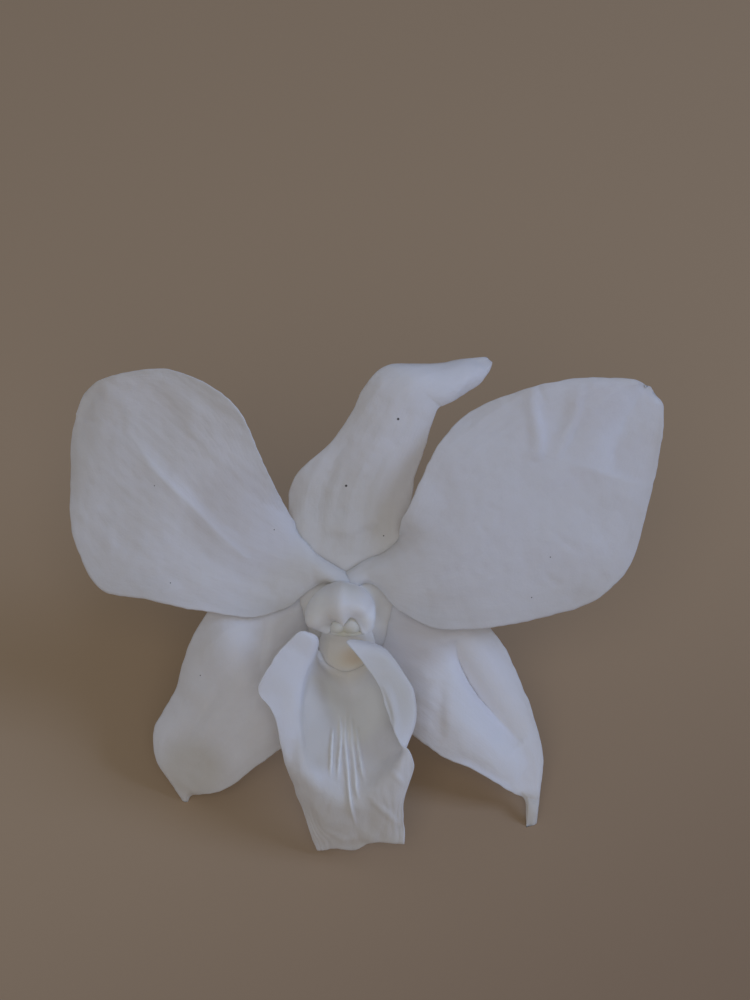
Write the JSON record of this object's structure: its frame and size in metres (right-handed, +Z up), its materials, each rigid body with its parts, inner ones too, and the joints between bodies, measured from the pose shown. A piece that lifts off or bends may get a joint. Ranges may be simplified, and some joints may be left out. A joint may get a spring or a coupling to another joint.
{
  "type": "preserved orchid",
  "caption": "Preserved white orchid bloom with waved petals, a folded lip and a short cut stalk, lying with its face turned up.",
  "frame": {"origin": "on the table, below the middle of the bloom's bounding box", "axes": "+Z up from the table, +X towards the right petal as one faces the bloom, -Y towards the lip"},
  "size_m": [0.0668, 0.044, 0.0397],
  "materials": {
    "sepal": "soft matt dried petal tissue",
    "petal": "soft matt dried petal tissue",
    "lip": "soft matt dried petal tissue, greenish cream in the throat",
    "column": "waxy, faint satin",
    "anther": "waxy, faint satin",
    "stalk": "waxy, faintly ribbed"
  },
  "bodies": {
    "root": {"dorsal_sepal": "sepal", "left_petal": "petal", "right_petal": "petal", "left_lateral_sepal": "sepal", "right_lateral_sepal": "sepal", "lip": "lip", "column": "column", "anther_cap": "anther", "pedicel": "stalk"}
  },
  "joints": []
}
